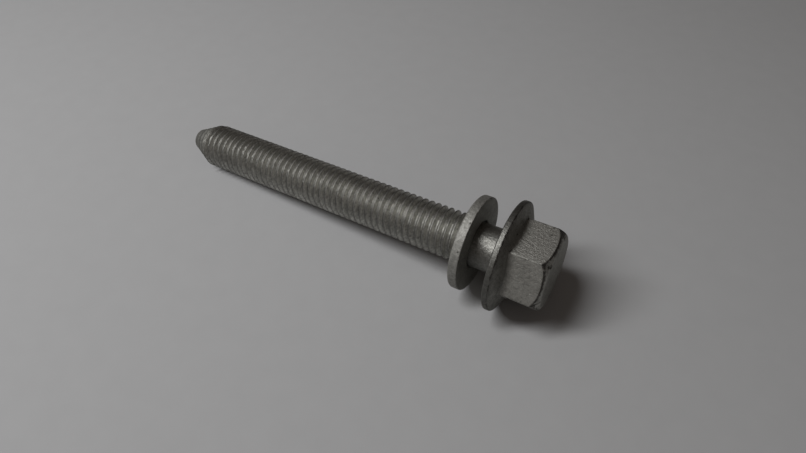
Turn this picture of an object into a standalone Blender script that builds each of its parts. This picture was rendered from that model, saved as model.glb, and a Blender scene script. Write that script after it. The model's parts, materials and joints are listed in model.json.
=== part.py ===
"""Hex flange bolt with a captive plain washer, lying on its side on a flat surface.

The bolt is one forging: hexagon head, flange, plain shank, rolled thread and tapered point. The washer went
on before the thread was rolled. Its bore passes the shank but not the thread, so it slides between the thread
and the flange and can't come off.

Both pieces are modelled about the bolt's axis, local Z, with the flange's bearing face at Z = 0, the head above
it and the thread below it. An empty then lays them down: the axis points along +X and rises to the head,
because the flange's rim and the thread's last full turn rest on the surface.
"""

import math

import bmesh
import bpy
import numpy as np
from mathutils import Matrix

MM = 0.001

# Driving dimensions of the thread and the shank
THREAD_DIAMETER = 12.0 * MM
THREAD_PITCH = 1.75 * MM
THREAD_START = 7.55 * MM  # from the bearing face to where the thread begins to rise
THREAD_RUNOUT = 3.4 * MM  # length over which it reaches its full height
BOLT_LENGTH = 96.2 * MM  # from the bearing face to the end of the point

# Driving dimensions of the point
POINT_LENGTH = 7.7 * MM  # from the last full turn to the end
POINT_END_DIAMETER = 6.0 * MM  # where the taper meets the domed end
POINT_DOME = 1.2 * MM  # height of the domed end

# Driving dimensions of the head
HEX_ACROSS_FLATS = 18.0 * MM
HEAD_HEIGHT = 11.7 * MM  # from the bearing face to the top
HEAD_TOP_DIAMETER = 16.2 * MM  # flat circle that the chamfer leaves
CHAMFER_ANGLE = math.radians(30.0)
HEX_TURN = math.radians(33.4)  # from straight down to the next corner, about the axis
FLANGE_DIAMETER = 26.5 * MM
FLANGE_RIM = 1.4 * MM
FLANGE_CONE_ANGLE = math.radians(25.0)
FLANGE_EDGE_ROUND = 0.4 * MM
UNDER_HEAD_FILLET = 0.25 * MM

# Driving dimensions of the washer
WASHER_DIAMETER = 23.0 * MM
WASHER_THICKNESS = 2.3 * MM
WASHER_BORE_CLEARANCE = 0.32 * MM  # radial, over the shank
WASHER_EDGE_ROUND = 0.35 * MM
SEAT_GAP = 0.3 * MM  # between the washer and the turn that stops it

# Fineness of the round shapes
FACETS = 24
CHAMFER_FACETS = 48
DOME_RINGS = 3
ROUND_SEGMENTS = 2
SHARP_ANGLE = math.radians(35.0)
BEVEL_ANGLE = math.radians(50.0)
MERGE_DISTANCE = 0.001 * MM

# Sizes that follow: a 60 degree thread rolled on a blank of its pitch diameter
TRIANGLE_HEIGHT = THREAD_PITCH * math.sqrt(3.0) / 2.0
CREST_RISE = TRIANGLE_HEIGHT * 3.0 / 8.0
ROOT_DEPTH = TRIANGLE_HEIGHT / 3.0
CREST_FLAT = 1.0 / 8.0  # share of the pitch
SHANK_RADIUS = THREAD_DIAMETER / 2.0 - CREST_RISE
POINT_START = BOLT_LENGTH - POINT_LENGTH
THREAD_END = BOLT_LENGTH - POINT_DOME
BORE_RADIUS = SHANK_RADIUS + WASHER_BORE_CLEARANCE

# The washer stops where the rising thread has grown to its bore
WASHER_STOP = THREAD_START + THREAD_RUNOUT * WASHER_BORE_CLEARANCE / CREST_RISE
WASHER_REST = WASHER_STOP - SEAT_GAP  # from the bearing face to the washer's thread-side face

# The bolt lies on the flange's edge and on the thread's last full turn
LYING_SLOPE = math.atan2((FLANGE_DIAMETER - THREAD_DIAMETER) / 2.0, POINT_START)


def clear_scene():
    """Remove every object that the scene holds."""
    for thing in list(bpy.data.objects):
        bpy.data.objects.remove(thing)


def new_collection(name):
    """Collection linked to the scene."""
    collection = bpy.data.collections.new(name)
    bpy.context.scene.collection.children.link(collection)
    return collection


def coated_steel(name, colour, roughness):
    """Matt silver-grey coating with zinc flakes over steel."""
    material = bpy.data.materials.new(name)
    material.use_nodes = True
    shader = material.node_tree.nodes["Principled BSDF"]
    shader.inputs["Base Color"].default_value = colour
    shader.inputs["Metallic"].default_value = 0.9
    shader.inputs["Roughness"].default_value = roughness
    return material


def new_object(name, mesh, collection):
    """Object around a mesh, in the given collection."""
    thing = bpy.data.objects.new(name, mesh)
    collection.objects.link(thing)
    return thing


def as_helper(thing):
    """Mark an object as a shape that only joins or trims another one."""
    thing.hide_render = True
    thing.display_type = "WIRE"
    return thing


def turned(name, profile, facets, collection, closed=False):
    """Turned shape from (radius, height) points that run down the outer side.

    The profile stands half a facet round from +X and is stretched to the corners of the facets, so the
    flats touch the true circle and one of them faces +X.
    """
    sideways = math.tan(math.pi / facets)
    points = [(radius, radius * sideways, height) for radius, height in profile]
    edges = [(i, i + 1) for i in range(len(points) - 1)]
    if closed:
        edges.append((len(points) - 1, 0))
    mesh = bpy.data.meshes.new(name)
    mesh.from_pydata(points, edges, [])
    thing = new_object(name, mesh, collection)
    screw = thing.modifiers.new("turn", "SCREW")
    screw.steps = facets
    screw.render_steps = facets
    screw.use_merge_vertices = True
    screw.merge_threshold = MERGE_DISTANCE
    return thing


def round_edges(thing, width):
    """Round the sharp edges of a turned shape, and leave the facets alone."""
    bevel = thing.modifiers.new("round", "BEVEL")
    bevel.width = width
    bevel.segments = ROUND_SEGMENTS
    bevel.limit_method = "ANGLE"
    bevel.angle_limit = BEVEL_ANGLE


def combine(thing, other, operation):
    """Boolean of one object with a helper."""
    boolean = thing.modifiers.new(other.name, "BOOLEAN")
    boolean.object = other
    boolean.operation = operation
    boolean.solver = "EXACT"


def bake(thing):
    """Turn an object's modifiers into its mesh, shaded smooth up to the sharp edges."""
    depsgraph = bpy.context.evaluated_depsgraph_get()
    mesh = bpy.data.meshes.new_from_object(thing.evaluated_get(depsgraph))
    mesh.name = thing.name
    thing.modifiers.clear()
    thing.data = mesh
    mesh.shade_smooth()
    mesh.set_sharp_from_angle(angle=SHARP_ANGLE)


def blank_radius(depth):
    """Radius of the blank before the thread is rolled: the plain shank, then the tapered point."""
    return np.interp(depth, [POINT_START, THREAD_END], [SHANK_RADIUS, POINT_END_DIAMETER / 2.0])


def thread_fade(depth):
    """Share of the thread's full height: it rises at the shank and fades out along the point."""
    stations = [THREAD_START, THREAD_START + THREAD_RUNOUT, POINT_START, THREAD_END]
    return np.interp(depth, stations, [0.0, 1.0, 1.0, 0.0])


def ring(depth, radius):
    """Plain ring of points: depth and radius for every facet corner."""
    return np.full(FACETS, depth), np.full(FACETS, radius)


def thread_rows():
    """Rows along a right-hand helix, three to a turn: both edges of the crest and the root.

    Rows that would run past an end of the thread stay on its end ring, where they close up.
    """
    tooth = [(-CREST_FLAT / 2.0, CREST_RISE), (CREST_FLAT / 2.0, CREST_RISE), (0.5, -ROOT_DEPTH)]
    climb = THREAD_PITCH * np.arange(FACETS) / FACETS
    turns = math.ceil((THREAD_END - THREAD_START) / THREAD_PITCH)
    rows = []
    for turn in range(-1, turns + 3):  # spare turns, which close up on the end rings
        for place, height in tooth:
            depth = THREAD_START + (turn + place) * THREAD_PITCH - climb
            depth = np.clip(depth, THREAD_START, THREAD_END)
            rows.append((depth, blank_radius(depth) + height * thread_fade(depth)))
    return rows, len(tooth)


def threaded_shaft(collection):
    """Shank, thread and point as one closed skin.

    The thread fades out at both ends and rides down the point, which no turned profile does, so the skin is a
    grid: every row has one point per facet, and a row of the thread meets the row one turn before it.
    """
    helix, rows_per_turn = thread_rows()
    dome = np.linspace(0.0, math.pi / 2.0, DOME_RINGS + 1)[1:-1]
    end_radius = POINT_END_DIAMETER / 2.0
    inside = FLANGE_RIM / 2.0  # the fillet's slope runs on into the flange
    rows = [ring(-inside, SHANK_RADIUS + UNDER_HEAD_FILLET + inside), ring(UNDER_HEAD_FILLET, SHANK_RADIUS)]
    first_helix_row = len(rows)
    rows += helix
    last_helix_row = len(rows) - 1
    rows += [ring(THREAD_END + POINT_DOME * math.sin(a), end_radius * math.cos(a)) for a in dome]

    turn = (np.arange(FACETS) + 0.5) * 2.0 * math.pi / FACETS
    to_corner = 1.0 / math.cos(math.pi / FACETS)
    shaft = bmesh.new()
    grid = []
    for depth, radius in rows:
        corner = radius * to_corner
        points = np.stack([corner * np.cos(turn), corner * np.sin(turn), -depth], axis=1)
        grid.append([shaft.verts.new(point) for point in points])
    end = shaft.verts.new((0.0, 0.0, -BOLT_LENGTH))

    def corner_at(row, column):
        """Grid corner; past the last column a thread row goes on in the row one turn before."""
        if column < FACETS:
            return grid[row][column]
        if first_helix_row + rows_per_turn <= row <= last_helix_row:
            return grid[row - rows_per_turn][0]
        return grid[row][0]

    for row in range(len(rows) - 1):
        for column in range(FACETS):
            upper = [corner_at(row, column), corner_at(row, column + 1)]
            lower = [corner_at(row + 1, column + 1), corner_at(row + 1, column)]
            shaft.faces.new(upper + lower)
    for column in range(FACETS):
        shaft.faces.new([corner_at(len(rows) - 1, column), corner_at(len(rows) - 1, column + 1), end])
    shaft.faces.new(grid[0])
    bmesh.ops.remove_doubles(shaft, verts=shaft.verts, dist=MERGE_DISTANCE)
    bmesh.ops.dissolve_degenerate(shaft, edges=shaft.edges, dist=MERGE_DISTANCE)
    bmesh.ops.recalc_face_normals(shaft, faces=shaft.faces)

    mesh = bpy.data.meshes.new("shaft")
    shaft.to_mesh(mesh)
    shaft.free()
    return as_helper(new_object("shaft", mesh, collection))


def hex_head(collection):
    """Hexagonal prism, trimmed by a turned blank whose conical top leaves the chamfer's arcs on the flats."""
    corner_radius = HEX_ACROSS_FLATS / math.sqrt(3.0)
    foot = FLANGE_RIM / 2.0  # inside the flange
    overshoot = FLANGE_RIM  # past the top and the corners, where the prism and the blank trim each other
    prism = bmesh.new()
    bmesh.ops.create_cone(
        prism,
        cap_ends=True,
        segments=6,
        radius1=corner_radius,
        radius2=corner_radius,
        depth=HEAD_HEIGHT + overshoot - foot,
        matrix=Matrix.Translation((0.0, 0.0, (HEAD_HEIGHT + overshoot + foot) / 2.0)),
    )
    mesh = bpy.data.meshes.new("hex_head")
    prism.to_mesh(mesh)
    prism.free()
    head = as_helper(new_object("hex_head", mesh, collection))

    top_radius = HEAD_TOP_DIAMETER / 2.0
    clear_radius = corner_radius + overshoot
    shoulder = HEAD_HEIGHT - (clear_radius - top_radius) * math.tan(CHAMFER_ANGLE)
    chamfer = [(0.0, HEAD_HEIGHT), (top_radius, HEAD_HEIGHT), (clear_radius, shoulder)]
    foot_disc = [(clear_radius, 0.0), (0.0, 0.0)]
    blank = as_helper(turned("head_blank", chamfer + foot_disc, CHAMFER_FACETS, collection))
    for thing in (head, blank):
        thing.rotation_euler.z = HEX_TURN - math.pi / 2.0  # the prism's first corner lies on +Y
    combine(head, blank, "INTERSECT")
    return head


def flange_bolt(parts, helpers):
    """The forging: flange, then head and shaft joined to it."""
    flange_radius = FLANGE_DIAMETER / 2.0
    cone_radius = HEX_ACROSS_FLATS / 3.0  # the cone ends inside the head
    cone_top = FLANGE_RIM + (flange_radius - cone_radius) * math.tan(FLANGE_CONE_ANGLE)
    cone = [(0.0, cone_top), (cone_radius, cone_top), (flange_radius, FLANGE_RIM)]
    bearing_face = [(flange_radius, 0.0), (0.0, 0.0)]
    bolt = turned("flange_bolt", cone + bearing_face, FACETS, parts)
    round_edges(bolt, FLANGE_EDGE_ROUND)
    combine(bolt, hex_head(helpers), "UNION")
    combine(bolt, threaded_shaft(helpers), "UNION")
    bake(bolt)
    bolt.data.materials.clear()
    bolt.data.materials.append(coated_steel("bolt_coating", (0.27, 0.268, 0.25, 1.0), 0.55))
    return bolt


def captive_washer(parts):
    """Plain washer on the shank, resting against the first turns of the thread."""
    outer = WASHER_DIAMETER / 2.0
    top = WASHER_THICKNESS
    profile = [(BORE_RADIUS, top), (outer, top), (outer, 0.0), (BORE_RADIUS, 0.0)]
    washer = turned("captive_washer", profile, FACETS, parts, closed=True)
    round_edges(washer, WASHER_EDGE_ROUND)
    bake(washer)
    washer.data.materials.append(coated_steel("washer_coating", (0.33, 0.328, 0.31, 1.0), 0.55))
    washer.location.z = -WASHER_REST
    return washer


def lay_down(axis, pieces):
    """Tip the axis over to its slope, stand the pieces on Z = 0 and centre them on the origin."""
    axis.matrix_world = Matrix.Rotation(math.pi / 2.0 - LYING_SLOPE, 4, "Y")
    bpy.context.view_layer.update()
    corners = np.array([piece.matrix_world @ vertex.co for piece in pieces for vertex in piece.data.vertices])
    low, high = corners.min(axis=0), corners.max(axis=0)
    axis.location = (-(low[0] + high[0]) / 2.0, -(low[1] + high[1]) / 2.0, -low[2])
    bpy.context.view_layer.update()


def main():
    clear_scene()
    parts = new_collection("hex_flange_bolt")
    helpers = new_collection("helpers")
    axis = new_object("bolt_axis", None, parts)
    pieces = [flange_bolt(parts, helpers), captive_washer(parts)]
    for piece in pieces:
        piece.parent = axis
    lay_down(axis, pieces)
    for piece in pieces:
        print(piece.name, len(piece.data.vertices), "points,", len(piece.data.polygons), "faces")
    print("bearing face centre (m)", tuple(round(value, 6) for value in axis.matrix_world.translation))
    print("slope (degrees)", round(math.degrees(LYING_SLOPE), 3))


main()
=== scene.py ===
# %% [markdown]
# # A hexagon flange bolt with a captive washer
# The bolt is one steel forging with a rolled thread, and a loose washer is trapped on its shank. Both
# carry a matt, silver-grey coat of zinc flakes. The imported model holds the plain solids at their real
# size and in their real place. This lesson gives them their surfaces: rounded edges, a crowned thread,
# nicks, wear and the coat.

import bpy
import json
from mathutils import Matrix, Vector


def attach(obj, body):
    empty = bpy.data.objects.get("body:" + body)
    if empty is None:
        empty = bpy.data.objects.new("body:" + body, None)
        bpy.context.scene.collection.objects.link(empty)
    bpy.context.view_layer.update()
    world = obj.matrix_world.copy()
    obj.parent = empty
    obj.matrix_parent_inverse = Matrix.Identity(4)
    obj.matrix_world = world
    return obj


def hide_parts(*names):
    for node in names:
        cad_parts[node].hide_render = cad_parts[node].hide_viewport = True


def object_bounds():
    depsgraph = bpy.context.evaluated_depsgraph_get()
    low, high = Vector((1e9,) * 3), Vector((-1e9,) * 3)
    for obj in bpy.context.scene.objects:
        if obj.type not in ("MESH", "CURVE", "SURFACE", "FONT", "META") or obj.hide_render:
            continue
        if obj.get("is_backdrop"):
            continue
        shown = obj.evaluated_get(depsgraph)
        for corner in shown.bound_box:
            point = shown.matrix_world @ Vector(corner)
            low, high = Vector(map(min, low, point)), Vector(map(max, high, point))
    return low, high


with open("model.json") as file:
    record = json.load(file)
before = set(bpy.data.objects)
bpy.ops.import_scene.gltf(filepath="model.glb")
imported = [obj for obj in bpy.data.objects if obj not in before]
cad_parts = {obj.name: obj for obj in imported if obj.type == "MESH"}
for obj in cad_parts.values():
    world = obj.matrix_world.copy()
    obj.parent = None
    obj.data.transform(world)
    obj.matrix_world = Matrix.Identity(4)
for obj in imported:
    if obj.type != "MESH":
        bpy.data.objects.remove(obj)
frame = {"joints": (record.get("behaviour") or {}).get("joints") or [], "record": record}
cad_low, cad_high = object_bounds()

# %% [markdown]
# ## The bolt's own directions
# The bolt lies on its flange and on the end of its thread, so its axis isn't level. Everything on it is
# set round that axis, so it is easiest to work in cylinder coordinates: a radius, an angle and a rise along
# the axis. The frame already says where the axis is: the washer slides along it, and the head's top is
# stated as a mount. Reading both from the frame keeps every new surface exactly on its solid.

# %% Directions and a way to place points
import bmesh
import bpy
import numpy as np

MM = 0.001
HEAD_HEIGHT = 11.7  # from the flange's bearing face to the top, in millimetres as all sizes on the bolt

towards_head = np.array(frame["joints"][0]["axis"])
towards_head /= np.linalg.norm(towards_head)
sideways = np.array((0.0, 1.0, 0.0))
downwards = np.cross(sideways, towards_head)
mounts = {mount["name"]: np.array(mount["pos_m"]) for mount in frame["record"]["mounts"]}
bearing_centre = mounts["head_top"] - HEAD_HEIGHT * MM * towards_head


def place(radius, angle, rise):
    """Points in the frame from cylinder coordinates about the bolt's axis.

    Point = bearing face's centre + radius * (cos(angle) * down + sin(angle) * sideways) + rise * axis.
    """
    around = np.cos(angle)[..., None] * downwards + np.sin(angle)[..., None] * sideways
    return bearing_centre + MM * (radius[..., None] * around + rise[..., None] * towards_head)


print("axis", towards_head.round(4), "bearing face centre", bearing_centre.round(5))

# %% [markdown]
# ## A skin on a grid
# Every surface here is a grid: rows run along the bolt, columns run round it. A mesh could be made by
# adding faces one by one, but whole arrays are quicker and shorter. Each quad takes a grid corner, the
# corner in the next row and their two neighbours in the next column. A row whose points all coincide is a
# pole, and merging doubles closes it. Masks, which are values at every corner, travel with the mesh for
# the materials to read.

# %% Grid to mesh
MERGE_DISTANCE = 1e-7  # metres


def skin(name, radius, angle, rise, right, masks):
    """Closed mesh from a grid of cylinder coordinates.

    right holds, for every grid corner, the number of its neighbour in the next column. masks are values at
    every corner, kept as point attributes.
    """
    points = place(radius, angle, rise).reshape(-1, 3)
    here = np.arange(radius.size).reshape(radius.shape)
    quads = np.stack([here[:-1], here[1:], right[1:], right[:-1]], axis=-1).reshape(-1, 4)
    mesh = bpy.data.meshes.new(name)
    mesh.from_pydata(points, [], quads)
    for mask_name, values in masks.items():
        mask = mesh.attributes.new(mask_name, "FLOAT", "POINT")
        mask.data.foreach_set("value", values.astype(np.float32).ravel())
    merged = bmesh.new()
    merged.from_mesh(mesh)
    bmesh.ops.remove_doubles(merged, verts=merged.verts, dist=MERGE_DISTANCE)
    bmesh.ops.dissolve_degenerate(merged, edges=merged.edges, dist=MERGE_DISTANCE)
    open_edges = sum(not edge.is_manifold for edge in merged.edges)
    triangles = sum(len(face.verts) - 2 for face in merged.faces)
    volume = round(merged.calc_volume() / MM**3, 1)
    print(name, triangles, "triangles,", open_edges, "open edges, volume", volume, "mm3")
    merged.to_mesh(mesh)
    merged.free()
    mesh.shade_smooth()
    piece = bpy.data.objects.new(name, mesh)
    bpy.context.scene.collection.objects.link(piece)
    return piece


# %% [markdown]
# ## Soft steps
# Wear, dirt and small dents have no hard borders. Two curves draw all of them: a bell round a place, and
# a straight ramp past one. Painted weights would need a brush for every piece, but a curve of a distance
# fits any grid.


# %% Bell and ramp
def bump(distance, reach):
    """Bell curve: 1 at no distance, falling to about a third at the reach."""
    return np.exp(-((distance / reach) ** 2))


def ramp(value, start, width):
    """0 up to the start, then a straight rise to 1 over the width."""
    return np.clip((value - start) / width, 0.0, 1.0)


print("bell at its reach", bump(1.0, reach=1.0).round(2), "ramp half way", ramp(0.5, start=0.0, width=1.0))

# %% [markdown]
# ## The hexagon
# A spanner turns the head by six flats. Their edges aren't knife sharp: the coat and a few tools have
# rounded them. In cylinder coordinates a flat is its distance from the axis divided by the cosine of the
# angle off its middle, and a rounded edge is a small circle that touches both flats. The columns gather
# at the edges, where the shape turns.

# %% Columns round the bolt and the hexagon's outline
HEX_ACROSS_FLATS = 18.0
HEX_TURN = np.radians(33.4)  # from straight down to the next edge
HEX_EDGE_ROUND = 0.24
COLUMNS_PER_SIDE = 22
GATHER = 2.2  # how strongly the columns gather at the edges

half_side = np.pi / 6.0
steps = np.linspace(-1.0, 1.0, COLUMNS_PER_SIDE, endpoint=False)
off_edge = half_side * np.sign(steps) * np.abs(steps) ** GATHER
angle = (HEX_TURN + np.arange(6)[:, None] * 2.0 * half_side + off_edge).ravel()
off_edge = np.tile(off_edge, 6)
degrees_off_edge = np.degrees(off_edge)


def hexagon_radius(off_edge):
    """Distance from the axis to a hexagon with rounded edges, by the angle off the nearest edge.

    On a flat it is the apothem / cos(angle off the flat's middle). Near an edge it is the far crossing of
    the ray with a circle of the edge's round, centred where the circle touches both flats.
    """
    apothem = HEX_ACROSS_FLATS / 2.0
    centre = (apothem - HEX_EDGE_ROUND) / np.cos(half_side)
    touch_x = centre + HEX_EDGE_ROUND * np.cos(half_side)
    touch_y = HEX_EDGE_ROUND * np.sin(half_side)
    flat = apothem / np.cos(half_side - np.abs(off_edge))
    circle = np.sqrt(np.maximum(HEX_EDGE_ROUND**2 - (centre * np.sin(off_edge)) ** 2, 0.0))
    edge = centre * np.cos(off_edge) + circle
    return np.where(np.abs(off_edge) < np.arctan2(touch_y, touch_x), edge, flat)


hexagon = hexagon_radius(off_edge)
columns = angle.size
print(columns, "columns, hexagon", hexagon.min().round(3), "to", hexagon.max().round(3), "mm off the axis")

# %% [markdown]
# ## Profiles with rounded corners
# The head could be a prism with a Bevel modifier, but the bevel would have to be told about every kind of
# edge. Here the head is a profile instead: a few corner points in each column, each rounded by its own
# arc. An arc is a conic curve: it leaves the first leg, is drawn towards the corner by a weight, and
# meets the second leg.


# %% Rounding a profile
def ring(radius, rise, columns):
    """A corner of a profile in every column, as (radius, rise)."""
    return np.stack([np.broadcast_to(radius, columns), np.broadcast_to(rise, columns)], axis=-1)


def rounded_profile(named_corners, rounds, arc_rows, leg_rows):
    """Rows of (radius, rise) through named corners, with an arc at each inner one.

    An arc reaches round * tan(half the turn) along both legs. Its points are
    ((1-t)^2 start + 2 w t (1-t) corner + t^2 end) / ((1-t)^2 + 2 w t (1-t) + t^2) with the cosine of half
    the turn as the weight w, which makes it a circle. Legs are divided evenly into leg_rows rows.
    """
    corners = np.stack(list(named_corners.values()))
    legs = np.diff(corners, axis=0)
    legs /= np.linalg.norm(legs, axis=-1, keepdims=True)
    cosine = (legs[:-1] * legs[1:]).sum(axis=-1, keepdims=True)
    half_turn = 0.5 * np.arccos(np.clip(cosine, -1.0, 1.0))
    reach = np.array(rounds)[:, None, None] * np.tan(half_turn)
    start = corners[1:-1] - reach * legs[:-1]
    end = corners[1:-1] + reach * legs[1:]
    t = np.linspace(0.0, 1.0, arc_rows)[:, None, None, None]
    pull = 2.0 * np.cos(half_turn) * t * (1.0 - t)
    arcs = ((1.0 - t) ** 2 * start + pull * corners[1:-1] + t**2 * end) / ((1.0 - t) ** 2 + pull + t**2)
    leg_starts = np.concatenate([corners[:1], end])
    leg_ends = np.concatenate([start, corners[-1:]])
    rows = []
    for leg, count in enumerate(leg_rows):
        first = min(leg, 1)  # later legs begin where an arc ends, so their first row is already there
        share = np.arange(first, count)[:, None, None] / count
        rows.append(leg_starts[leg] + share * (leg_ends[leg] - leg_starts[leg]))
        if leg < len(rounds):
            rows.append(arcs[:, leg])
    rows.append(corners[-1:])
    return np.concatenate(rows)


# %% [markdown]
# ## Head, flange and shank
# Seen from the top, the head is a flat circle, a chamfer that leaves scalloped arcs on the flats, the
# hexagon itself, a fillet, the flange's cone, its rim and the bearing face under it, and then the plain
# shank. One profile runs through all of these in every column. Only the hexagon's radius changes from
# column to column, so the chamfer's arcs and the foot of the hexagon come out by themselves, where the
# cones meet the flats. The hexagon's corners have taken knocks, so the chamfer reaches a little lower
# there.

# %% Head profile
HEAD_TOP_RADIUS = 8.1
CHAMFER_SLOPE = np.tan(np.radians(30.0))
KNOCK_DEPTH = 0.4
KNOCK_REACH = 6.0  # degrees off the hexagon's edge
FLANGE_RADIUS = 13.25
FLANGE_RIM = 1.4
FLANGE_SLOPE = np.tan(np.radians(25.0))
SHANK_RADIUS = 5.432
THREAD_START = 7.55  # below the bearing face
HEAD_ROUNDS = [1.4, 0.55, 0.9, 0.4, 0.4, 0.25]  # at the inner corners, from the top down
HEAD_LEG_ROWS = [6, 4, 14, 4, 3, 5, 5]  # between the corners
ARC_ROWS = 6

chamfer_foot = HEAD_HEIGHT - (hexagon - HEAD_TOP_RADIUS) * CHAMFER_SLOPE
chamfer_foot -= KNOCK_DEPTH * bump(degrees_off_edge, KNOCK_REACH)
hexagon_foot = FLANGE_RIM + (FLANGE_RADIUS - hexagon) * FLANGE_SLOPE
head_corners = {
    "top_middle": ring(0.0, HEAD_HEIGHT, columns),
    "top_edge": ring(HEAD_TOP_RADIUS, HEAD_HEIGHT, columns),
    "chamfer_foot": ring(hexagon, chamfer_foot, columns),
    "hexagon_foot": ring(hexagon, hexagon_foot, columns),
    "flange_upper_edge": ring(FLANGE_RADIUS, FLANGE_RIM, columns),
    "flange_lower_edge": ring(FLANGE_RADIUS, 0.0, columns),
    "under_head": ring(SHANK_RADIUS, 0.0, columns),
    "shank_end": ring(SHANK_RADIUS, -THREAD_START, columns),
}
head = rounded_profile(head_corners, HEAD_ROUNDS, ARC_ROWS, HEAD_LEG_ROWS)
print("head", head.shape[0], "rows; flats up to", chamfer_foot.max().round(2), "mm")

# %% [markdown]
# ## What the forge leaves behind
# A forged flat isn't a mirror: it waves by hundredths of a millimetre, which breaks up its reflection. A
# Displace modifier with a texture could do this. A sum of a few waves with random phases is as quick, and
# its depth is known exactly. The waves are taken off the solid's own radius and hardly ever add to it.

# %% Waves on the head
FORGE_WAVE = 0.016
WAVE_SET_IN = 0.9  # width over which the waves set in, outside the flat top
WAVE_GAIN = 1.6  # the mean of several cosines seldom comes near 1 by itself
chance = np.random.default_rng(12)


def waves(angle, rise, turns, lengths):
    """Smooth uneven surface, about 0 to 1.

    It is half of 1 + gain * the mean of cosines of (whole turns * angle + rise / length + random phase).
    """
    phase = chance.uniform(0.0, 2.0 * np.pi, len(turns))
    angle, rise = angle[..., None], rise[..., None]
    cosines = np.cos(np.array(turns) * angle + rise / np.array(lengths) + phase)
    return 0.5 + 0.5 * WAVE_GAIN * cosines.mean(axis=-1)


head_radius, head_rise = head[..., 0], head[..., 1]
forged = ramp(head_radius, HEAD_TOP_RADIUS, WAVE_SET_IN) * ramp(head_rise, start=0.0, width=FLANGE_RIM)
head_wave = waves(angle, head_rise, turns=[3, 7, 11, 17, 23], lengths=[2.6, -1.3, 1.9, -0.9, 1.1])
hollow = FORGE_WAVE * head_wave * forged
head_radius = head_radius - hollow
print("forge waves from", hollow.min().round(4), "to", hollow.max().round(4), "mm deep")

# %% [markdown]
# ## Where things are on the head
# A finish changes from face to face, so it needs to know which face it is on. Vertex groups picked by
# hand would do for one mesh. Here each face of the head is a mask from 0 to 1, worked out from the
# radius, the rise and the distance to the profile's corners, so it still fits when a size changes.


# %% Faces of the head as masks
def distances(grid, corners):
    """Distance of every grid point from each named corner in its own column."""
    return {name: np.linalg.norm(grid - corner, axis=-1) for name, corner in corners.items()}


to_corner = distances(head, head_corners)
outside_top = head_radius > HEAD_TOP_RADIUS
on_top = head_rise > HEAD_HEIGHT - 0.2
on_hexagon = ramp(head_rise, hexagon_foot, width=1.5) * outside_top
on_chamfer = (head_rise > chamfer_foot - 0.12) * (head_radius > HEAD_TOP_RADIUS - 1.0)
above_chamfer_foot = ramp(head_rise, chamfer_foot, width=1.0)
on_flange = ramp(head_radius, hexagon, width=0.8) * (head_rise > -0.1)
on_flange_rim = ramp(head_radius, FLANGE_RADIUS - 0.35, width=0.3)
on_shank = ramp(-head_rise, start=0.0, width=1.0)
near_edge = bump(degrees_off_edge, reach=9.0)
shares = {"hexagon": on_hexagon, "flange": on_flange, "shank": on_shank}
print("shares of the head's grid", {face: mask.mean().round(3) for face, mask in shares.items()})

# %% [markdown]
# ## Wear, dirt, painted shade and tone on the head
# Edges that stand out lose their coat first, and dark dirt lies in patches on the flats, the chamfer and
# the top, and along the flange's upper edge. The dark band at the chamfer's foot and the creases at the
# hexagon's foot and under the head are painted shade. The flats are lighter, the top is lighter by
# painted light, and the flange, its rim and the shank are darker. Four masks carry this to the material:
# wear, dirt with painted shade, shade as a factor on the coat's tone, and matt for a duller surface. Each
# is a sum of places on the head, every one with its own weight.

# %% Masks on the head
CORNER_SHADE_AND_DIRT = [0.6, 0.8, 1.0, 0.45, 0.4, 0.7]  # how much painted shade and dark dirt each corner of the hexagon gets

corner_shade_and_dirt = np.repeat(CORNER_SHADE_AND_DIRT, COLUMNS_PER_SIDE) * near_edge
blunt_edge = bump(degrees_off_edge, reach=1.2) * on_hexagon
worn_edge = bump(degrees_off_edge, reach=0.8) * on_hexagon
head_wear = 0.25 * worn_edge + 0.15 * bump(to_corner["flange_lower_edge"], reach=0.35)

# Painted shade: a dark band along the chamfer's foot, stronger at some corners than at others.
chamfer_painted_shade = on_chamfer * bump(to_corner["chamfer_foot"], reach=0.5 + 0.8 * corner_shade_and_dirt)
head_grime_and_painted_shade = 0.95 * chamfer_painted_shade * (1.0 - near_edge + corner_shade_and_dirt) + 0.2 * above_chamfer_foot
head_grime_and_painted_shade += on_hexagon * (0.17 + 0.25 * bump(degrees_off_edge, reach=1.5) + 0.15 * corner_shade_and_dirt)
head_grime_and_painted_shade += 0.75 * bump(to_corner["flange_upper_edge"], reach=0.3)
# Painted shade in the crease at the foot of the hexagon, most near its edges.
head_grime_and_painted_shade += bump(to_corner["hexagon_foot"], reach=0.4) * (0.28 + 0.42 * near_edge)

# The flats are lighter, and the top is made lighter by painted light.
head_shade = 1.0 + 0.27 * on_hexagon + 0.12 * on_top
head_shade -= 0.1 * on_flange + 0.38 * on_flange_rim + 0.2 * on_shank
# Painted shade in the creases at the foot of the hexagon and under the head.
head_shade -= 0.2 * bump(to_corner["hexagon_foot"], reach=0.8)
head_shade -= 0.2 * bump(to_corner["under_head"], reach=0.5)
head_shade -= 0.35 * blunt_edge
head_matt = 0.6 * blunt_edge
print("head mask means", [mask.mean().round(3) for mask in (head_wear, head_grime_and_painted_shade, head_shade, head_matt)])

# %% [markdown]
# ## The rolled thread
# Rolling presses the thread into the blank: metal leaves the root and flows up to the crest, where the
# two lips of metal meet in a fine seam. The flanks lean 30 degrees, the root is a true arc and the crest
# is crowned. A Screw modifier could turn such a tooth into a helix, but it couldn't fade the thread out
# at the shank and along the point. So the rows of the grid follow the helix themselves: past the last
# column, a row goes on in the row one turn before it.

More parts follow.
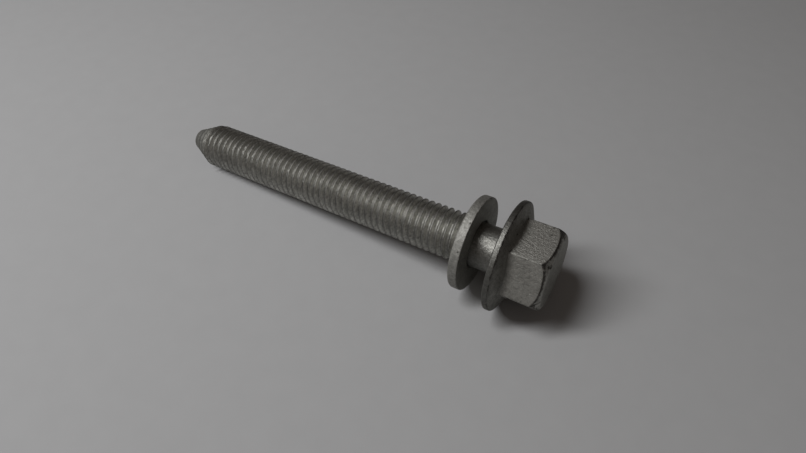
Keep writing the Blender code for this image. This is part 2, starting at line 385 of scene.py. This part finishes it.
# %% One tooth
PITCH = 1.75
FLANK_FALL = np.sqrt(3.0)  # tan(60 degrees)
TRIANGLE_HEIGHT = PITCH * FLANK_FALL / 2.0
CREST_RISE = TRIANGLE_HEIGHT * 3.0 / 8.0
ROOT_ROUND = TRIANGLE_HEIGHT / 4.0
ROOT_DEPTH = TRIANGLE_HEIGHT / 2.0 - ROOT_ROUND
FLANK_START = 1.0 / 16.0  # places on the tooth are shares of the pitch, from the crest's middle
FLANK_MIDDLE = 0.2
CROWN_END = 0.1
CREST_LIP = 0.05
CREST_SEAM = 0.05  # depth of the seam in millimetres
ROOT_ARC_START = 0.5 - ROOT_ROUND * np.cos(np.pi / 6.0) / PITCH
ROOT_ARC_MIDDLE = 0.41

half_tooth = np.array([0.0, CREST_LIP, CROWN_END, FLANK_MIDDLE, ROOT_ARC_START, ROOT_ARC_MIDDLE, 0.5])
places = np.concatenate([-half_tooth[:0:-1], half_tooth[:-1]])


def tooth_height(on_tooth):
    """Height over the blank by the place on the tooth, 0 at the crest and half at the root.

    The flank falls by tan(60 degrees). The crest is a parabola that meets it, with a small notch for the
    seam, and the root is an arc that touches both flanks:
    bottom + round - sqrt(round^2 - (distance from the root's middle)^2).
    """
    off_crest = np.abs(on_tooth)
    flank = CREST_RISE - (off_crest - FLANK_START) * PITCH * FLANK_FALL
    crown_drop = (CROWN_END - FLANK_START) * PITCH * FLANK_FALL
    seam = CREST_SEAM * (1.0 - ramp(off_crest, start=0.0, width=CREST_LIP))
    crown = CREST_RISE - crown_drop * (off_crest / CROWN_END) ** 2 - seam
    from_root = (0.5 - off_crest) * PITCH
    arc = ROOT_ROUND - ROOT_DEPTH - np.sqrt(np.maximum(ROOT_ROUND**2 - from_root**2, 0.0))
    return np.where(off_crest < CROWN_END, crown, np.where(off_crest < ROOT_ARC_START, flank, arc))


print("tooth", places.size, "points, crest", (SHANK_RADIUS + CREST_RISE).round(3), "mm off the axis")

# %% Rows along the helix
CREST_AT = 7.586  # below the bearing face, a crest that lies straight down
THREAD_RUNOUT = 3.4
POINT_START = 88.5
THREAD_END = 95.0
POINT_END_RADIUS = 3.0
FIRST_TURN = -1  # spare turns before the start and past the end are squeezed flat by the clip below
LAST_SPARE_TURNS = 3

turns = np.arange(FIRST_TURN, int(np.ceil((THREAD_END - THREAD_START) / PITCH)) + LAST_SPARE_TURNS)
helix = (turns[:, None] + places).ravel()
depth = np.clip(CREST_AT + PITCH * (helix[:, None] - angle / (2.0 * np.pi)), THREAD_START, THREAD_END)
height = np.tile(tooth_height(places), turns.size)[:, None]
blank = np.interp(depth, [POINT_START, THREAD_END], [SHANK_RADIUS, POINT_END_RADIUS])
fade_depths = [THREAD_START, THREAD_START + THREAD_RUNOUT, POINT_START, THREAD_END]
fade = np.interp(depth, fade_depths, [0.0, 1.0, 1.0, 0.0])
print("thread", helix.size, "rows in", turns.size, "turns")

# %% [markdown]
# ## Nicks and an uneven crest
# Bolts are poured into boxes, so crests get small dents. Sculpting them by hand would take long. Each
# dent here is a bell in angle and depth, at a random place, and all of them are taken off the crests. The
# crest itself is never quite even, because the blank isn't.

# %% Nicks in the thread
NICKS = 60
NICK_DEPTH = 0.16
NICK_LENGTH = 0.5
NICK_WIDTH = 0.45
SMALLEST_NICK = 0.3  # as a share of the largest
NICK_WEAR = 0.6
CREST_WAVE = 0.03

nick_depth = chance.uniform(THREAD_START + THREAD_RUNOUT, POINT_START, NICKS)
nick_angle = chance.uniform(angle[0], angle[0] + 2.0 * np.pi, NICKS)
nick_size = chance.uniform(SMALLEST_NICK, 1.0, NICKS)
off_angle = np.angle(np.exp(1j * (angle[:, None] - nick_angle)))
nicks = np.zeros_like(depth)
for number, size in enumerate(nick_size):
    along = bump(depth - nick_depth[number], NICK_LENGTH * size)
    nicks += size * along * bump(off_angle[:, number] * SHANK_RADIUS, NICK_WIDTH * size)
nicks = np.clip(nicks, 0.0, 1.0)

crest_share = ramp(height, start=0.0, width=CREST_RISE)
uneven = waves(angle, depth, turns=[1, 2, 5, 9], lengths=[3.1, 0.9, 1.7, 2.3])
height = height - crest_share * (NICK_DEPTH * nicks + CREST_WAVE * uneven)
thread_radius = blank + height * fade
thread_wear = NICK_WEAR * nicks * crest_share
print("nicks", NICKS, "deepest", (NICK_DEPTH * nick_size.max()).round(3), "mm")

# %% [markdown]
# ## How the thread takes the light
# In the photo the flanks that face the head gleam, probably by light that bounces between flanks and off
# the white paper. Here the paper is written darker than real paper, so these bounces come out too weak.
# More light would spoil every other face, so the shade mask stands in for them: it lightens the
# head-facing flanks and darkens the roots, both more so towards the point, and it draws a fine dark line
# beside the nearer crests. The whole thread gets darker towards the point, and the crests and the point
# get duller.

# %% Masks on the thread
FAR_SPAN = [15.0, 65.0]  # depths between which the thread's near look turns into its far look
GLEAM_PLACES = [-0.5, -0.4, -0.2, -0.1, -0.05]  # from a root up the head-facing flank to the crest
GLEAM_LEVELS = [0.0, 0.75, 1.8, 1.0, 0.1]
DARK_LINE_PLACE = -0.05
CREST_MATT_PLACE = 0.04
CREST_MATT_CUT = 0.25  # narrows the dull band to the crest itself
TONE_DEPTHS = [THREAD_START, THREAD_START + 1.0, THREAD_END - 3.0, THREAD_END]
TONE_LEVELS = [0.81, 0.91, 0.5, 0.67]
DULL_POINT_LENGTH = 3.0


def by_depth(near, far):
    """Weight along the thread: near before the far span, far past it and straight in between."""
    return np.interp(depth, FAR_SPAN, [near, far])


on_tooth = np.tile(places, turns.size)[:, None]
lightened = np.interp(on_tooth, GLEAM_PLACES, GLEAM_LEVELS) * by_depth(near=0.75, far=1.25)
darkened = bump(0.5 - np.abs(on_tooth), reach=0.13) * by_depth(near=0.1, far=0.85)
darkened += bump(on_tooth - DARK_LINE_PLACE, reach=0.03) * by_depth(near=0.6, far=0.0)
thread_shade = (1.0 + fade * (lightened - darkened)) * np.interp(depth, TONE_DEPTHS, TONE_LEVELS)
crest_matt = bump(on_tooth - CREST_MATT_PLACE, reach=0.11) * by_depth(near=0.3, far=0.55)
thread_matt = np.maximum(ramp(depth, POINT_START, DULL_POINT_LENGTH), fade * (crest_matt - CREST_MATT_CUT))
print("thread shade", thread_shade.min().round(2), "to", thread_shade.max().round(2))

# %% [markdown]
# ## The point, and one skin for the whole bolt
# The thread dies out along a taper, and a low dome closes the end. A quarter of an ellipse is enough for
# it. Then head, thread and point are stacked into one grid. Its neighbours to the right are the next
# column, except where the thread's rows step back by one turn. Two more masks say where the thread is
# rolled and where the hexagon is drawn, because each leaves streaks in its own direction.

# %% Point and bolt skin
POINT_DOME = 1.17
DOME_ROWS = 7
DOME_SHADE = 0.8

quarter = np.linspace(0.0, np.pi / 2.0, DOME_ROWS)[1:, None]
dome_radius = np.tile(POINT_END_RADIUS * np.cos(quarter), columns)
dome_radius[-1] = 0.0
dome_rise = np.tile(-(THREAD_END + POINT_DOME * np.sin(quarter)), columns)


def stacked(on_head, on_thread, on_dome):
    """Mask of the whole bolt from those of its head and thread and one value for its dome."""
    return np.concatenate([on_head, on_thread, np.full_like(dome_radius, on_dome)])


no_head, no_thread = np.zeros_like(head_rise), np.zeros_like(depth)
bolt_masks = {
    "wear": stacked(head_wear, thread_wear, 0.0),
    # dirt, and on the head also painted shade in the chamfer band and the creases
    "grime_and_painted_shade": stacked(head_grime_and_painted_shade, no_thread, 0.0),
    "shade": stacked(head_shade, thread_shade, DOME_SHADE),
    "matt": stacked(head_matt, thread_matt, 1.0),
    "rolled": stacked(no_head, fade, 1.0),
    "drawn": stacked(on_hexagon, no_thread, 0.0),
}
bolt_radius = np.concatenate([head_radius, thread_radius, dome_radius])
bolt_rise = np.concatenate([head_rise, -depth, dome_rise])
here = np.arange(bolt_radius.size).reshape(bolt_radius.shape)
right = np.roll(here, -1, axis=1)
first_row, rows_per_turn = head.shape[0], places.size
helix_rows = np.arange(first_row + rows_per_turn, first_row + helix.size)
right[helix_rows, -1] = here[helix_rows - rows_per_turn, 0]

bolt = skin("flange_bolt_skin", bolt_radius, angle, bolt_rise, right, bolt_masks)
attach(bolt, "bolt")
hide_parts("flange_bolt")

# %% [markdown]
# ## The captive washer
# The washer is punched from sheet. The punch draws one edge over into a soft round, shears a smooth band
# and then tears the rest, which leaves a crisp edge on the far side. It slid onto the blank before the
# thread was rolled, so the thread keeps it on. Its profile is a closed loop: bore, head side, rim, thread
# side and back up the bore. A torus or a Screw modifier could make a ring too, but the same rounding as
# on the head serves here.

# %% Washer shape
WASHER_RADIUS = 11.5
WASHER_PLAY = 0.32  # between the shank and the bore
WASHER_BORE_RADIUS = SHANK_RADIUS + WASHER_PLAY
WASHER_THICKNESS = 2.3
WASHER_THREAD_SIDE = -9.164  # rise over the flange's bearing face, so it is negative
WASHER_HEAD_SIDE = WASHER_THREAD_SIDE + WASHER_THICKNESS
WASHER_ROUNDS = [0.3, 0.2, 0.5, 0.3]
WASHER_LEG_ROWS = [2, 8, 8, 8, 2]
WASHER_COLUMNS = 288
RIM_TEAR = 0.02

washer_middle = (WASHER_THREAD_SIDE + WASHER_HEAD_SIDE) / 2.0
washer_corners = {
    "bore_start": ring(WASHER_BORE_RADIUS, washer_middle, WASHER_COLUMNS),
    "bore_head_side": ring(WASHER_BORE_RADIUS, WASHER_HEAD_SIDE, WASHER_COLUMNS),
    "rim_head_side": ring(WASHER_RADIUS, WASHER_HEAD_SIDE, WASHER_COLUMNS),
    "rim_thread_side": ring(WASHER_RADIUS, WASHER_THREAD_SIDE, WASHER_COLUMNS),
    "bore_thread_side": ring(WASHER_BORE_RADIUS, WASHER_THREAD_SIDE, WASHER_COLUMNS),
    "bore_end": ring(WASHER_BORE_RADIUS, washer_middle, WASHER_COLUMNS),
}
washer_grid = rounded_profile(washer_corners, WASHER_ROUNDS, ARC_ROWS, WASHER_LEG_ROWS)
washer_radius, washer_rise = washer_grid[..., 0], washer_grid[..., 1]
washer_angle = np.linspace(0.0, 2.0 * np.pi, WASHER_COLUMNS, endpoint=False)
on_rim = ramp(washer_radius, WASHER_RADIUS - 0.25, width=0.25)
torn = on_rim * ramp(washer_rise, washer_middle, width=0.3)
tears = waves(washer_angle, washer_rise, turns=[47, 61, 83, 101, 29], lengths=[3.0, -2.0, 4.0, 2.5, -3.0])
washer_radius = washer_radius - RIM_TEAR * torn * tears
print("washer", washer_grid.shape[0], "rows, bore", round(2.0 * WASHER_BORE_RADIUS, 3), "mm across")

# %% Washer masks and skin
RIM_DARKER = 0.15
RIM_DULLER = 0.15
FACE_SHADE = 1.15

to_edge = distances(washer_grid, washer_corners)
washer_grime = 0.5 * bump(to_edge["rim_head_side"], reach=0.3)
washer_grime += 0.5 * bump(to_edge["bore_head_side"], reach=0.5)
washer_masks = {
    "wear": 0.4 * bump(to_edge["rim_thread_side"], reach=0.45),
    "grime_and_painted_shade": washer_grime,
    "shade": FACE_SHADE - RIM_DARKER * on_rim,
    "matt": RIM_DULLER * on_rim,
}
washer_right = np.roll(np.arange(washer_radius.size).reshape(washer_radius.shape), -1, axis=1)
washer = skin("captive_washer_skin", washer_radius, washer_angle, washer_rise, washer_right, washer_masks)
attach(washer, "washer")
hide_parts("captive_washer")

# %% [markdown]
# ## Helpers for materials
# A material is a tree of nodes, and it could be wired by hand in the shader editor. In a script, a few
# small helpers keep the wiring short: one fills a socket with a link or a plain value, one adds a node,
# and the others wrap the nodes that are used most.

# %% Node helpers
MIX_FIRST = 6  # a Mix node's colour sockets go by number, because its other sockets have the same names
MIX_SECOND = 7
MIX_RESULT = 2


def fill(tree, socket, value):
    """Links a socket to another one, or sets it to a plain value."""
    if isinstance(value, bpy.types.NodeSocket):
        tree.links.new(value, socket)
    else:
        socket.default_value = value


def add_node(tree, kind, settings=None, in_order=(), **by_name):
    """Node with settings, whose inputs are filled in order or by name."""
    node = tree.nodes.new(kind)
    for label, value in (settings or {}).items():
        setattr(node, label, value)
    for number, value in enumerate(in_order):
        fill(tree, node.inputs[number], value)
    for label, value in by_name.items():
        fill(tree, node.inputs[label], value)
    return node


def math_node(tree, operation, *values):
    """Result of a Math node."""
    return add_node(tree, "ShaderNodeMath", {"operation": operation}, values).outputs[0]


def weighted_sum(tree, *pairs):
    """Sum of values, each times its weight."""
    total = 0.0
    for value, weight in pairs:
        total = math_node(tree, "MULTIPLY_ADD", value, weight, total)
    return total


def map_range(tree, value, low, high, to_low=0.0, to_high=1.0, smooth=True):
    """Value moved from one range to another and kept inside it."""
    settings = {"interpolation_type": "SMOOTHSTEP" if smooth else "LINEAR"}
    return add_node(tree, "ShaderNodeMapRange", settings, [value, low, high, to_low, to_high]).outputs[0]


def mix_colour(tree, share, first, second):
    """Colour between two, by a share."""
    node = add_node(tree, "ShaderNodeMix", {"data_type": "RGBA"}, [share])
    fill(tree, node.inputs[MIX_FIRST], first)
    fill(tree, node.inputs[MIX_SECOND], second)
    return node.outputs[MIX_RESULT]


def new_group(name, values, output):
    """Shader node group that takes a place and some values and gives one value.

    Returns the group, its inputs by name and the socket for its result.
    """
    group = bpy.data.node_groups.new(name, "ShaderNodeTree")
    group.interface.new_socket(name="Place", in_out="INPUT", socket_type="NodeSocketVector")
    for label in values:
        group.interface.new_socket(name=label, in_out="INPUT", socket_type="NodeSocketFloat")
    group.interface.new_socket(name=output, in_out="OUTPUT", socket_type="NodeSocketFloat")
    given = group.nodes.new("NodeGroupInput").outputs
    return group, given, group.nodes.new("NodeGroupOutput").inputs[output]


print("node helpers", [helper.__name__ for helper in (fill, add_node, math_node, weighted_sum, new_group)])

# %% [markdown]
# ## Parts of the coat that both pieces share
# A zinc-flake coat is a thin paint full of metal flakes. Close up it sparkles unevenly, it clouds where
# the dip ran thin, it wears off edges, and tiny pits show dark. Image textures could hold this, but they
# would need unwrapping and would blur close up. Each effect is a node group instead, built once, with its
# own inputs. All of them read a place on the piece in metres, so a grain keeps its size on both pieces.

# %% Grain and clouds
FLAKE_FINENESS = 1.6  # how much finer the flakes are than the noise


def flake_grain_group():
    """Flakes: a fine noise mixed with a random value for each cell of a Voronoi pattern."""
    group, given, result = new_group("flake_grain", ["Density"], "Grain")
    where, density = given["Place"], given["Density"]
    noise = add_node(group, "ShaderNodeTexNoise", Vector=where, Scale=density, Detail=3.0, Roughness=0.65)
    finer = math_node(group, "MULTIPLY", density, FLAKE_FINENESS)
    cells = add_node(group, "ShaderNodeTexVoronoi", Vector=where, Scale=finer)
    flake = add_node(group, "ShaderNodeSeparateColor", Color=cells.outputs["Color"]).outputs[0]
    spread = map_range(group, noise.outputs[0], low=0.3, high=0.7)
    group.links.new(weighted_sum(group, (spread, 0.6), (flake, 0.4)), result)
    return group


def cloud_group():
    """Clouds, where the coat is thicker or thinner: a smooth noise with its contrast raised."""
    group, given, result = new_group("coat_clouds", ["Density"], "Cloud")
    sizes = {"Scale": given["Density"], "Detail": 4.0, "Roughness": 0.55}
    noise = add_node(group, "ShaderNodeTexNoise", Vector=given["Place"], **sizes)
    group.links.new(map_range(group, noise.outputs[0], low=0.32, high=0.68), result)
    return group


grain_group = flake_grain_group()
clouds_group = cloud_group()
print("groups", grain_group.name, clouds_group.name)

# %% Broken edges, streaks and pits
RAGGED_FINENESS = 4.0  # how much finer a pit's ragged border is than the spacing of pits


def broken_edge_group():
    """Broken edge: 1 where a mask is over a rough noise, so wear, dirt and painted shade come in patches.
    """
    group, given, result = new_group("broken_edges", ["Edge", "Density"], "Patch")
    sizes = {"Scale": given["Density"], "Detail": 5.0, "Roughness": 0.7}
    noise = add_node(group, "ShaderNodeTexNoise", Vector=given["Place"], **sizes)
    threshold = map_range(group, noise.outputs[0], low=0.3, high=0.7, to_low=0.15, to_high=0.95)
    over = math_node(group, "SUBTRACT", given["Edge"], threshold)
    group.links.new(map_range(group, over, low=-0.08, high=0.3), result)
    return group


def streak_group():
    """Streaks: a noise stretched to two sizes in metres, Along and Across the bolt's axis."""
    group, given, result = new_group("coat_streaks", ["Along", "Across"], "Streak")
    along, across = given["Along"], given["Across"]
    sizes = add_node(group, "ShaderNodeCombineXYZ", X=along, Y=across, Z=across).outputs[0]
    lean = (0.0, -np.arcsin(towards_head[2]), 0.0)
    turned = {"Vector": given["Place"], "Rotation": lean, "Scale": sizes}
    where = add_node(group, "ShaderNodeMapping", {"vector_type": "TEXTURE"}, **turned).outputs[0]
    noise = add_node(group, "ShaderNodeTexNoise", Vector=where, Scale=1.0, Detail=2.0, Roughness=0.6)
    group.links.new(map_range(group, noise.outputs[0], low=0.3, high=0.7), result)
    return group


def pit_group():
    """Pits: ragged dots in the middle of some Voronoi cells, picked and sized by a cell's random value."""
    group, given, result = new_group("coat_pits", ["Density"], "Pit")
    where, density = given["Place"], given["Density"]
    cells = add_node(group, "ShaderNodeTexVoronoi", Vector=where, Scale=density)
    finer = math_node(group, "MULTIPLY", density, RAGGED_FINENESS)
    ragged = add_node(group, "ShaderNodeTexNoise", Vector=where, Scale=finer)
    pick = add_node(group, "ShaderNodeSeparateColor", Color=cells.outputs["Color"]).outputs[0]
    radius = map_range(group, pick, low=0.88, high=1.0, to_low=0.0, to_high=0.42)
    size = math_node(group, "MULTIPLY", ragged.outputs[0], radius)
    inside = math_node(group, "SUBTRACT", size, cells.outputs["Distance"])
    group.links.new(map_range(group, inside, low=-0.03, high=0.06), result)
    return group


edges_group = broken_edge_group()
streaks_group = streak_group()
pits_group = pit_group()
print("groups", edges_group.name, streaks_group.name, pits_group.name)

# %% [markdown]
# ## The zinc-flake coat
# The coat is metal in a thin binder: it mirrors its surroundings, but very roughly, so a lamp is only a
# soft bright band. A painted grey would miss that band. Its tone wanders between two greys by grain,
# clouds and streaks. The shade mask scales that tone, worn edges show lighter, smoother metal, and pits,
# dirt and painted shade are dark. Where the matt mask is, the surface is rougher. The washer is a little
# lighter than the bolt.

# %% Coat material
GLANCING_TINT = (0.75, 0.75, 0.73, 1.0)  # holds back the bright rim of metal at a glancing angle
# Dark colour of pits, dirt and painted shade.
DIRT_AND_SHADE_COLOUR = (0.045, 0.042, 0.038, 1.0)
CLOUDS_PER_METRE = 330.0
MOTTLE_PER_METRE = 1400.0
PITS_PER_METRE = 800.0
WEAR_PER_METRE = 1500.0
GRIME_AND_SHADE_PER_METRE = 1100.0
ROLLED_STREAK = {"Along": 0.0003, "Across": 0.0007}  # metres
DRAWN_STREAK = {"Along": 0.0016, "Across": 0.0003}
THICK_ROUGHER = 0.08
THIN_SMOOTHER = 0.06
WORN_SMOOTHER = 0.06
MATT_ROUGHER = 0.35


def zinc_flake_coat(name, thin, thick, worn, roughness, grain_per_metre, relief):
    """Zinc-flake coat: two greys mixed by grain, clouds and streaks, then wear, pits, dirt and painted
    shade.
    """
    material = bpy.data.materials.new(name)
    material.use_nodes = True
    tree = material.node_tree
    shader = tree.nodes["Principled BSDF"]
    shader.inputs["Metallic"].default_value = 1.0
    shader.inputs["Specular Tint"].default_value = GLANCING_TINT
    where = add_node(tree, "ShaderNodeTexCoord").outputs["Object"]

    def mask(label):
        """Value of one of the piece's masks, or 0 on a piece that has no such mask."""
        return add_node(tree, "ShaderNodeAttribute", {"attribute_name": label}).outputs["Fac"]

    def effect(group, **inputs):
        """Result of a node group at the place on the piece."""
        return add_node(tree, "ShaderNodeGroup", {"node_tree": group}, Place=where, **inputs).outputs[0]

    def streaks(sizes, label):
        """Streaks from minus a half to a half, only where a mask is."""
        centred = math_node(tree, "SUBTRACT", effect(streaks_group, **sizes), 0.5)
        return math_node(tree, "MULTIPLY", centred, mask(label))

    grain = effect(grain_group, Density=grain_per_metre)
    cloud = effect(clouds_group, Density=CLOUDS_PER_METRE)
    mottle = effect(clouds_group, Density=MOTTLE_PER_METRE)
    pit = effect(pits_group, Density=PITS_PER_METRE)
    wear = effect(edges_group, Density=WEAR_PER_METRE, Edge=mask("wear"))
    # Dirt and painted shade, broken into patches.
    grime_and_painted_shade = effect(edges_group, Density=GRIME_AND_SHADE_PER_METRE, Edge=mask("grime_and_painted_shade"))
    rolled = streaks(ROLLED_STREAK, "rolled")
    drawn = streaks(DRAWN_STREAK, "drawn")
    streak = weighted_sum(tree, (rolled, 0.95), (drawn, 0.3))
    tone = weighted_sum(tree, (grain, 0.5), (streak, 0.5), (cloud, 0.2), (mottle, 0.3))
    dark = math_node(tree, "MAXIMUM", weighted_sum(tree, (pit, 0.8)), weighted_sum(tree, (grime_and_painted_shade, 0.85)))

    colour = mix_colour(tree, tone, thick, thin)
    scaled = add_node(tree, "ShaderNodeVectorMath", {"operation": "SCALE"}, [colour], Scale=mask("shade"))
    colour = mix_colour(tree, wear, scaled.outputs[0], worn)
    tree.links.new(mix_colour(tree, dark, colour, DIRT_AND_SHADE_COLOUR), shader.inputs["Base Color"])

    thick_rough, thin_rough = roughness + THICK_ROUGHER, roughness - THIN_SMOOTHER
    coat_rough = map_range(tree, tone, 0.0, 1.0, to_low=thick_rough, to_high=thin_rough, smooth=False)
    rough = weighted_sum(tree, (coat_rough, 1.0), (wear, -WORN_SMOOTHER), (mask("matt"), MATT_ROUGHER))
    tree.links.new(rough, shader.inputs["Roughness"])

    lift = weighted_sum(tree, (grain, 1.0), (mottle, 0.8), (streak, 1.2), (dark, -0.8))
    bumps = add_node(tree, "ShaderNodeBump", Strength=1.0, Distance=relief, Height=lift)
    tree.links.new(bumps.outputs["Normal"], shader.inputs["Normal"])
    return material


# %% Coats of the bolt and the washer
bolt_coat = zinc_flake_coat(
    "bolt_zinc_flake",
    thin=(0.37, 0.367, 0.343, 1.0),
    thick=(0.15, 0.148, 0.137, 1.0),
    worn=(0.42, 0.416, 0.395, 1.0),
    roughness=0.48,
    grain_per_metre=2900.0,
    relief=0.00003,
)
washer_coat = zinc_flake_coat(
    "washer_zinc_flake",
    thin=(0.4, 0.397, 0.374, 1.0),
    thick=(0.19, 0.188, 0.175, 1.0),
    worn=(0.44, 0.436, 0.417, 1.0),
    roughness=0.57,
    grain_per_metre=2600.0,
    relief=0.00005,
)
bolt.data.materials.append(bolt_coat)
washer.data.materials.append(washer_coat)
print("coats", bolt_coat.name, washer_coat.name)

# %% [markdown]
# ## Floor
# The bolt lies on plain pale paper. A plane is enough for its shape, and a very faint mottle keeps it
# from looking like a flat fill. Its colour is written as the photo shows it, a grey, though real paper is
# lighter.

# %% Paper floor
FLOOR_HALF = 3.0  # metres
PAPER_DARK = (0.33, 0.332, 0.337, 1.0)
PAPER_LIGHT = (0.35, 0.352, 0.357, 1.0)
PAPER_MOTTLE_PER_METRE = 180.0


def paper_floor():
    """Square of paper at height 0, with a matt material that wanders by about a hundredth in tone."""
    corners = [(-FLOOR_HALF, -FLOOR_HALF, 0.0), (FLOOR_HALF, -FLOOR_HALF, 0.0)]
    corners += [(FLOOR_HALF, FLOOR_HALF, 0.0), (-FLOOR_HALF, FLOOR_HALF, 0.0)]
    mesh = bpy.data.meshes.new("paper_floor")
    mesh.from_pydata(corners, [], [(0, 1, 2, 3)])
    material = bpy.data.materials.new("pale_paper")
    material.use_nodes = True
    tree = material.node_tree
    shader = tree.nodes["Principled BSDF"]
    shader.inputs["Roughness"].default_value = 0.9
    shader.inputs["Specular IOR Level"].default_value = 0.2
    where = add_node(tree, "ShaderNodeTexCoord").outputs["Object"]
    mottle = add_node(tree, "ShaderNodeTexNoise", Vector=where, Scale=PAPER_MOTTLE_PER_METRE, Detail=4.0)
    colour = mix_colour(tree, mottle.outputs[0], PAPER_DARK, PAPER_LIGHT)
    tree.links.new(colour, shader.inputs["Base Color"])
    mesh.materials.append(material)
    floor = bpy.data.objects.new("paper_floor", mesh)
    bpy.context.scene.collection.objects.link(floor)
    return floor


floor = paper_floor()
floor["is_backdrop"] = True
print("floor", 2.0 * FLOOR_HALF, "m across")

# %% [markdown]
# ## Light
# One soft lamp, taller than wide, hangs above the bolt, to the left and towards the viewer. The room
# round it is dim, and lighter on the viewer's side. An even white studio would wash the metal out. This
# light gives rough metal its look: a soft band where it faces the lamp, dark where it mirrors the room,
# and a lighter underside where it mirrors the paper. The lamp's strength makes the paper render about as
# it is written.

# %% Lamp
from mathutils import Vector

LAMP_PLACE = Vector((-0.205, -0.17, 0.43))
LAMP_WIDTH = 0.08
LAMP_HEIGHT = 0.32
LAMP_POWER = 2.25

lamp_data = bpy.data.lights.new("soft_lamp", "AREA")
lamp_data.shape = "RECTANGLE"
lamp_data.size = LAMP_WIDTH
lamp_data.size_y = LAMP_HEIGHT
lamp_data.energy = LAMP_POWER
lamp = bpy.data.objects.new("soft_lamp", lamp_data)
lamp.location = LAMP_PLACE
lamp.rotation_euler = LAMP_PLACE.to_track_quat("Z", "Y").to_euler()  # a lamp shines along its own -Z
bpy.context.scene.collection.objects.link(lamp)
print("lamp at", [round(value, 3) for value in lamp.location])

# %% Room and view transform
ROOM_FRONT = (0.165, 0.149, 0.137, 1.0)
ROOM_BACK = (0.052, 0.042, 0.036, 1.0)
VIEWER_SIDE = (0.0, -1.0, 0.0)
BACK_COSINE = -0.6  # cosines of the angle to the viewer's side at which the two colours are reached
FRONT_COSINE = 0.8


def dim_room():
    """World that is lighter on the viewer's side: two colours mixed by the cosine of the angle to it."""
    world = bpy.data.worlds.new("dim_room")
    world.use_nodes = True
    tree = world.node_tree
    direction = add_node(tree, "ShaderNodeTexCoord").outputs["Generated"]
    settings = {"operation": "DOT_PRODUCT"}
    cosine = add_node(tree, "ShaderNodeVectorMath", settings, [direction, VIEWER_SIDE]).outputs["Value"]
    share = map_range(tree, cosine, low=BACK_COSINE, high=FRONT_COSINE)
    colour = mix_colour(tree, share, ROOM_BACK, ROOM_FRONT)
    tree.links.new(colour, tree.nodes["Background"].inputs["Color"])
    return world


bpy.context.scene.world = dim_room()
bpy.context.scene.view_settings.view_transform = "Standard"
print("world", bpy.context.scene.world.name)

# %% [markdown]
# ## Camera
# The photo was taken from close above, over the bolt's head end. Lines fitted to the bolt's edges gave
# the camera's place and its angle of view, so the render can be laid over the photo. Turning a camera by
# eye would come near, but not near enough to compare edges.

# %% Camera
IMAGE_WIDTH = 806
FOCAL_LENGTH_IN_PIXELS = 560.0
CAMERA_FROM_BEARING = Vector((0.01845, -0.07767, 0.1026))
CAMERA_AZIMUTH = np.radians(30.37)
CAMERA_ELEVATION = np.radians(50.46)
CAMERA_CLIP_START = 0.005  # metres, because the camera is close

camera_data = bpy.data.cameras.new("camera")
camera_data.sensor_fit = "HORIZONTAL"
camera_data.lens = camera_data.sensor_width * FOCAL_LENGTH_IN_PIXELS / IMAGE_WIDTH
camera_data.clip_start = CAMERA_CLIP_START
camera = bpy.data.objects.new("camera", camera_data)
camera.location = Vector(bearing_centre) + CAMERA_FROM_BEARING
camera.rotation_euler = (np.pi / 2.0 - CAMERA_ELEVATION, 0.0, CAMERA_AZIMUTH)
bpy.context.scene.collection.objects.link(camera)
bpy.context.scene.camera = camera
print("lens", round(camera_data.lens, 2), "mm")

# %% Sizes and finish
import json

low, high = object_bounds()
visual_size = [round(value / MM, 2) for value in high - low]
cad_size = [round(value / MM, 2) for value in cad_high - cad_low]
print("box", visual_size, "of", cad_size)
